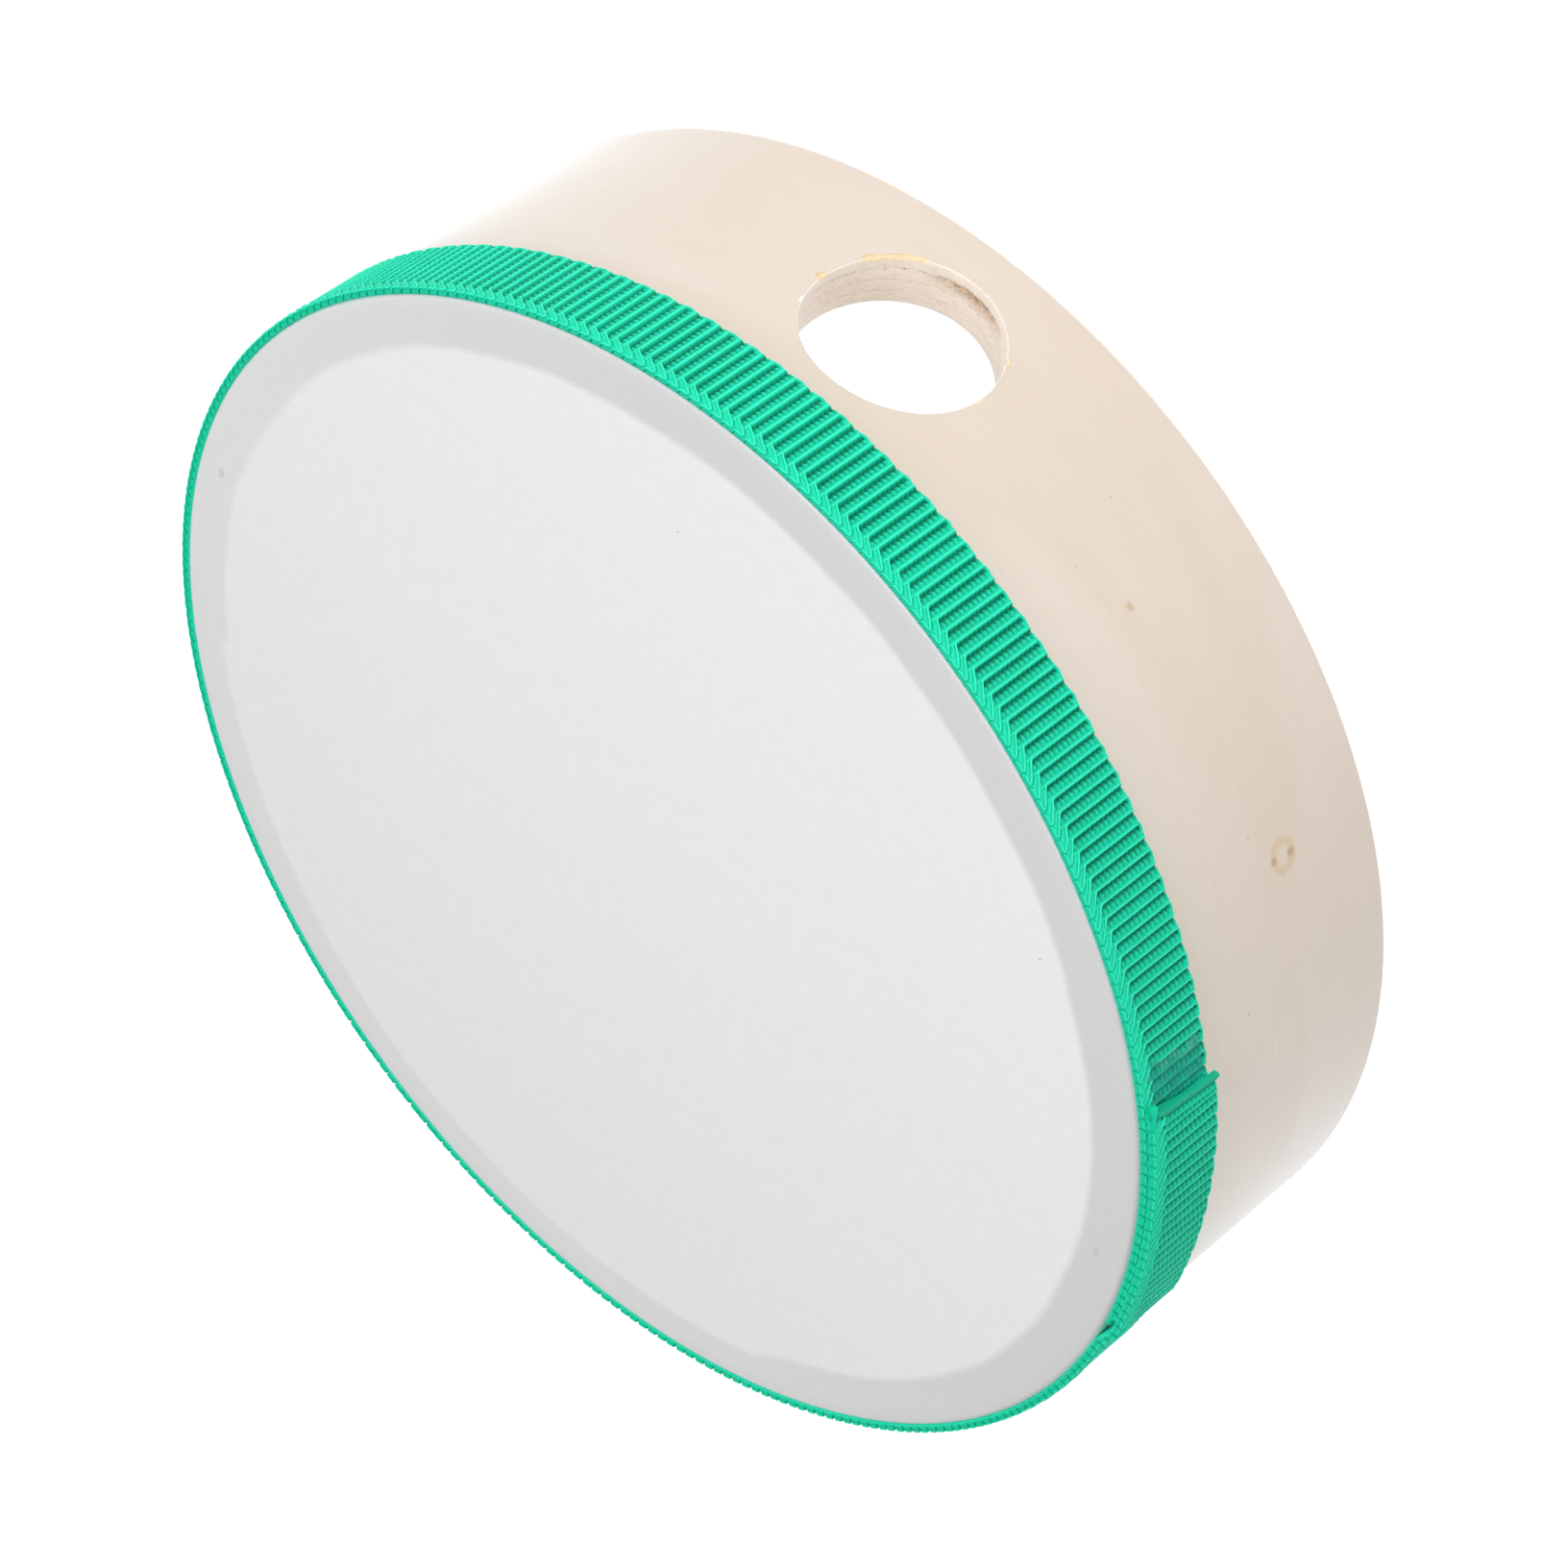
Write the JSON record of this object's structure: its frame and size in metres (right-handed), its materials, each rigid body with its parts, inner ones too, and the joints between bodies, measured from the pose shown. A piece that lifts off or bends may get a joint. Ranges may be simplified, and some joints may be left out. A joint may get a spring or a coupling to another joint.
{
  "type": "frame drum",
  "caption": "Small one-headed hand drum: bent plywood hoop with a round finger hole, white skin over one side, ribbed green tape lapped round its edge.",
  "frame": {"origin": "centre of the open back rim, which the drum lies on", "axes": "+Z along the drum's axis towards the head; the finger hole faces -Y"},
  "size_m": [0.1535, 0.1524, 0.0442],
  "materials": {
    "face_veneer": "pale bare veneer, sanded, thin clear sealer",
    "core_veneer": "raw veneer edge",
    "skin": "white translucent skin, satin",
    "tape": "ribbed woven ribbon with a slight sheen",
    "glue": "clear hot-melt glue over the tape"
  },
  "bodies": {
    "root": {"ply_outer": "face_veneer", "ply_second": "core_veneer", "ply_third": "core_veneer", "ply_inner": "face_veneer", "drum_head": "skin", "trim_tape": "tape", "lap_glue": "glue"}
  },
  "joints": []
}
